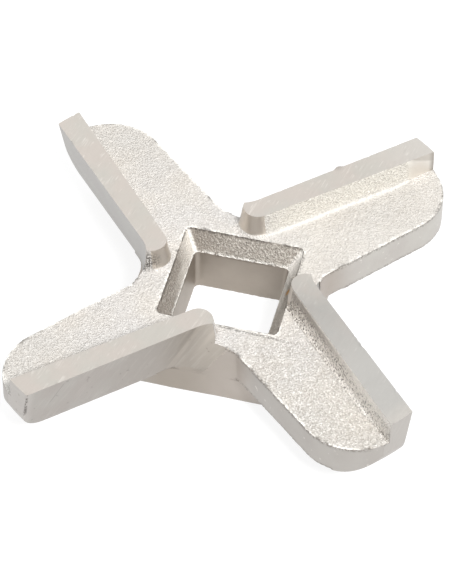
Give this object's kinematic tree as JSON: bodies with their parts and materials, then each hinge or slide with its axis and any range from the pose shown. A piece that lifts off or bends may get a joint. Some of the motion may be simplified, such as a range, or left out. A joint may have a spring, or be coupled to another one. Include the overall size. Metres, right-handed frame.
{
  "type": "meat grinder knife",
  "caption": "Cross-shaped cast knife for a meat grinder, with a raised ground cutting rib along each arm and a square drive bore through its hub.",
  "frame": {"origin": "centre of the square bore at the hub's bottom face, the face on the feed screw's side", "axes": "+Z along the drive axis from the hub to the ground cutting faces; X and Y along the sides of the square bore, with the arms between them"},
  "size_m": [0.0642, 0.0642, 0.014],
  "materials": {
    "cast_steel": "sand-cast, with ground rib tops and leading faces"
  },
  "bodies": {
    "root": {"knife": "cast_steel"}
  },
  "joints": []
}
